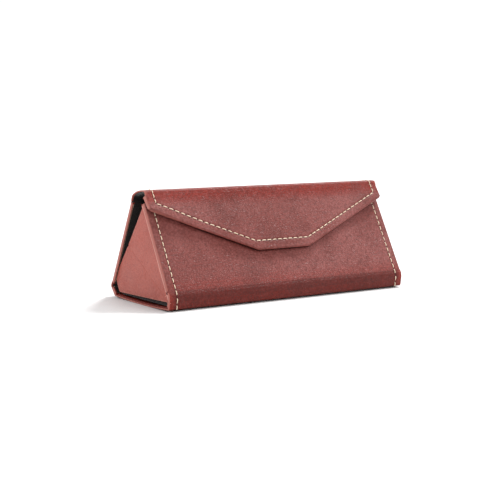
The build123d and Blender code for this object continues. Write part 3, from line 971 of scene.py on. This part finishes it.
def is_inside(outline, spot):
    """Whether a spot is inside a closed outline."""
    inside = False
    for p, q in zip(outline, np.roll(outline, -1, axis=0)):
        if (p[1] > spot[1]) != (q[1] > spot[1]):
            inside ^= spot[0] < p[0] + (q[0] - p[0]) * (spot[1] - p[1]) / (q[1] - p[1])
    return inside


def end_sheet(name, outline, side, x_face, x_back, radius, crease, seed, closed=False, wave=0.16):
    """A flat end piece with turned edges: a tray of thin leather, or a closed slab of cloth."""
    ring = closed_outline(outline, 1.0 if closed else 1.3)
    ahead, behind = np.roll(ring, -1, axis=0), np.roll(ring, 1, axis=0)
    tangent = ahead - behind
    inward = np.stack([-tangent[:, 1], tangent[:, 0]], 1)
    inward /= np.linalg.norm(inward, axis=1)[:, None]
    centre = ring.mean(axis=0)
    if np.sum((centre - ring) * inward) < 0:
        inward = -inward
    to_crease = np.abs((ring - crease[0]) @ left_of(crease[1]))
    share = np.where(to_crease < 0.3, 0.35, 1.0)[:, None]
    depth = abs(x_face - x_back)
    points, wear_and_painted_light = [], []
    for inset, down in [(0.0, depth)] + quarter_turn(radius, 5):
        place = ring + inward * share * inset
        drop = down if down == depth else down * share[:, 0]
        x = np.full(len(ring), x_face) - drop
        points.append(np.column_stack([side * x, place]))
        # paler turned rim, worn and partly a painted highlight
        wear_and_painted_light.append(np.full(len(ring), math.exp(-inset / 0.5)) * share[:, 0])
    size, rings = len(ring), len(points)
    faces = ring_faces(rings, size, caps=False)
    flat = points[-1][:, 1:]
    low, high = flat.min(axis=0), flat.max(axis=0)
    mesh_points = [Vector(p) for p in flat]
    for y in np.arange(low[0], high[0], 1.5):
        for z in np.arange(low[1], high[1], 1.5):
            spot = np.array((y, z))
            if is_inside(flat, spot) and np.min(np.linalg.norm(flat - spot, axis=1)) > 0.9:
                mesh_points.append(Vector(spot))
    rim = [(j, (j + 1) % size) for j in range(size)]
    spots, _, triangles, *_ = delaunay_2d_cdt(mesh_points, rim, [], 1, 1e-5)
    spots = np.array([tuple(p) for p in spots])
    away = np.array([np.min(np.linalg.norm(flat - p, axis=1)) for p in spots])
    bulge = wave * ripple(spots[:, 0], spots[:, 1], seed) * smoothstep((away - 0.3) / 5)
    first = size * rings
    faces += [tuple(first + i for i in triangle) for triangle in triangles]
    points = np.concatenate([*points, np.column_stack([side * (x_face + bulge), spots])])
    wear_and_painted_light = np.concatenate([*wear_and_painted_light, np.zeros(len(spots))])
    if closed:
        faces.append(tuple(range(size)))
        return smooth(make_mesh(name, points, faces, edge=wear_and_painted_light))
    obj = make_mesh(name, points, faces, out=(side, 0, 0), edge=wear_and_painted_light)
    return smooth(thicken(obj, 0.36))


def strip_along(name, profile, thickness, start, end, place, stations=30, wear_and_painted_light=0.0):
    """A thin strip whose profile is carried along a straight line; place turns (u, v, along) into a point."""
    face = PathFace(profile, 1)
    outer, inner = face.path, face.path + face.normal * thickness
    loop = np.concatenate([outer, inner[::-1]])
    points = [place(u, v, along) for along in np.linspace(start, end, stations) for u, v in loop]
    faces = ring_faces(stations, len(loop))
    return smooth(make_mesh(name, np.array(points), faces, edge=np.full(len(points), wear_and_painted_light)))


def build_end(side):
    name = "right" if side > 0 else "left"
    cover = node_points(f"{name}_lower_end_cover")
    lower, away = cover[:, 1:], np.abs(cover[:, 0])
    upper = node_points(f"{name}_upper_end_cover")[:, 1:]
    x_face, x_back = away.max(), away.min()
    hinge = axis_point(f"{name}_upper_end_fold")
    root = crossing(hinge, up_front, axis_point(f"{name}_lower_end_fold"), (1, 0))
    back_corner = lower[np.argmax(lower[:, 0])] + (2.9, -0.2)
    low_corner = lower[np.argmax(lower[:, 0] - 3 * lower[:, 1])]
    apex_rear = upper[np.argmax(upper @ np.array((0.35, 1.0)))]
    apex_front = upper[np.argmax(upper[:, 1])]
    crease_way = unit(np.array((1, 0)) + up_front)
    crease = (root, crease_way)
    kink = crossing(root, crease_way, back_corner, apex_rear - back_corner)
    front_top = reach("front_board", front)[1] + SKIN
    apex_s = (apex_front - front.start) @ front.along
    rise = front_top - 0.1 - apex_s
    toe = root + crease_way * TOE
    heel = root + up_front * (TOE - 0.8)
    low_outline = [root + (1.7, 0.9), low_corner + (1.6, 0.1), back_corner, kink, toe, heel,
                   root + up_front * 2.0]
    high_outline = [toe, kink, apex_rear + up_front * (rise - 0.1), apex_front + up_front * rise, heel]
    halves = (("lower", low_outline, 61, (f"{name}_end_crease",)), ("upper", high_outline, 62, ()))
    for part, outline, seed, more in halves:
        body = f"{name}_{part}_end"
        skin = end_sheet(f"{body}_skin", outline, side, x_face, x_back + 0.05, 0.3, crease, seed)
        finish(skin, LIT_END_LEATHER, body, f"{body}_cover", *more)
    for part, outline, *_ in halves:
        middle = np.mean(outline, axis=0)
        shy = [p + unit(middle - p) * 0.8 for p in outline]
        cloth = end_sheet(f"{name}_{part}_end_lining", shy, -side, -x_back - 0.02, -x_back - 0.24, 0.1, crease,
                          63, closed=True, wave=0.0)
        finish(cloth, LINING, f"{name}_{part}_end")

    hinge_depth = -(hinge - front.start) @ front.out
    hinge_s = (root - front.start) @ front.along
    top_s = apex_s + rise - 0.1
    shape = [(HALF - 0.55, PANEL_T - 0.6), (HALF - 0.35, PANEL_T + 0.25), (x_face + 0.35, hinge_depth + 0.35),
             (x_face + 0.05, hinge_depth + 1.15), (x_face - 0.02, hinge_depth + 1.9)]
    profile = smooth_curve(shape, (0, 1), (0, 1), 0.2)

    def beside_front(u, v, along):
        return front.points(side * u, along, v)

    def on_bottom(u, v, along):
        return np.array((side * u, along, v))

    split_s = hinge_s + TOE - 1.2
    # painted highlight: the strips where the end panel turns on to the front carry high edge values, for the
    # pale line of light along that fold
    foot = strip_along(f"{name}_end_side_foot", profile, 0.3, hinge_s + 0.4, split_s, beside_front, stations=6,
                       wear_and_painted_light=0.85)
    finish(foot, LIT_END_LEATHER, None)
    fold = strip_along(f"{name}_end_side_fold", profile, 0.3, split_s, top_s, beside_front, wear_and_painted_light=0.85)
    finish(fold, LIT_END_LEATHER, None)
    middle_s = (hinge_s + top_s) / 2
    outer, inner = (tuple(front.points(side * u, middle_s, v) * MM)
                    for u, v in ((HALF - 0.5, PANEL_T + 0.1), (x_face, hinge_depth + 1.0)))
    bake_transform(fold)
    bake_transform(foot)
    tape_shape = [(x_back - 3.2, PANEL_T + 0.1), (x_back - 0.5, PANEL_T + 0.12),
                  (x_back - 0.12, PANEL_T + 0.5), (x_back - 0.1, PANEL_T + 2.2)]
    tape_profile = smooth_curve(tape_shape, (1, 0), (0, 1), 0.2)
    tape = strip_along(f"{name}_end_tape", tape_profile, 0.16, root[0] + 4.5, low_corner[0] - 0.5, on_bottom)
    finish(tape, LINING, None)
    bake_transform(tape)


# ---- stage, camera and lights ----
def build_stage():
    """Wide pale floor."""
    far = 30.0
    points = [(-far, -far, 0), (far, -far, 0), (far, far, 0), (-far, far, 0)]
    mesh = bpy.data.meshes.new("studio_floor")
    mesh.from_pydata(points, [], [(0, 1, 2, 3)])
    floor = link(mesh, "studio_floor")
    paper = Nodes("studio_paper")
    paper.set(Base_Color=(0.68, 0.68, 0.68), Roughness=0.95, Specular_IOR_Level=0.1)
    mesh.materials.append(paper.material)


bpy.context.scene.view_settings.view_transform = "Standard"
CAMERA_AZIMUTH, CAMERA_ELEVATION = -34.06, 6.83
CAMERA_DISTANCE, CAMERA_LENS = 0.7059, 85.67
CAMERA_TARGET = Vector((-0.0086, -0.00215, 0.0260))


def build_camera():
    a, e = math.radians(CAMERA_AZIMUTH), math.radians(CAMERA_ELEVATION)
    back_way = Vector((math.sin(a) * math.cos(e), -math.cos(a) * math.cos(e), math.sin(e)))
    data = bpy.data.cameras.new("camera")
    data.lens = CAMERA_LENS
    data.sensor_width = 36.0
    data.clip_start = 0.01
    camera = link(data, "camera")
    camera.location = CAMERA_TARGET + back_way * CAMERA_DISTANCE
    camera.rotation_euler = (-back_way).to_track_quat("-Z", "Y").to_euler()
    bpy.context.scene.camera = camera


def area_light(name, place, aim, size, power):
    data = bpy.data.lights.new(name, "AREA")
    data.shape = "RECTANGLE"
    data.size, data.size_y = size
    data.energy = power
    lamp = link(data, name)
    lamp.location = place
    lamp.rotation_euler = (Vector(aim) - Vector(place)).to_track_quat("-Z", "Y").to_euler()


def build_lights():
    sun = bpy.data.lights.new("key_light", "SUN")
    sun.energy = 3.0
    sun.angle = math.radians(16)
    link(sun, "key_light").rotation_euler = Vector((0.75, 0.12, 1.2)).to_track_quat("Z", "Y").to_euler()
    area_light("back_light", (0.2, 0.9, 1.0), (0, 0, 0), (0.7, 0.7), 4)
    area_light("sheen_box", (0.32, -0.78, 0.72), (0, 0, 0.03), (0.5, 0.4), 2.0)
    world = bpy.data.worlds.new("studio")
    world.use_nodes = True
    world.node_tree.nodes["Background"].inputs["Color"].default_value = (1, 1, 1, 1)
    world.node_tree.nodes["Background"].inputs["Strength"].default_value = 1.05
    bpy.context.scene.world = world


# boards and magnets keep their CAD shape and get their own materials
for name, obj in frame["nodes"].items():
    obj.data.materials.clear()
    obj.data.materials.append(NICKEL if name.endswith("magnets") else BOARD)

build_camera()
front_low, _ = build_panel("front", front, PANEL_T, -2.3, -2.0, 11, fold_shade=0.30, fold_rich=0.5)
back_low, back_high = build_panel("back", back, BACK_T, -2.0, 1.2, 21, round_high=False)
flap_low = build_flap()
build_base(front_low, back_low)
build_spine(back_high, flap_low)
build_end(-1)
build_end(1)
build_stage()
build_lights()
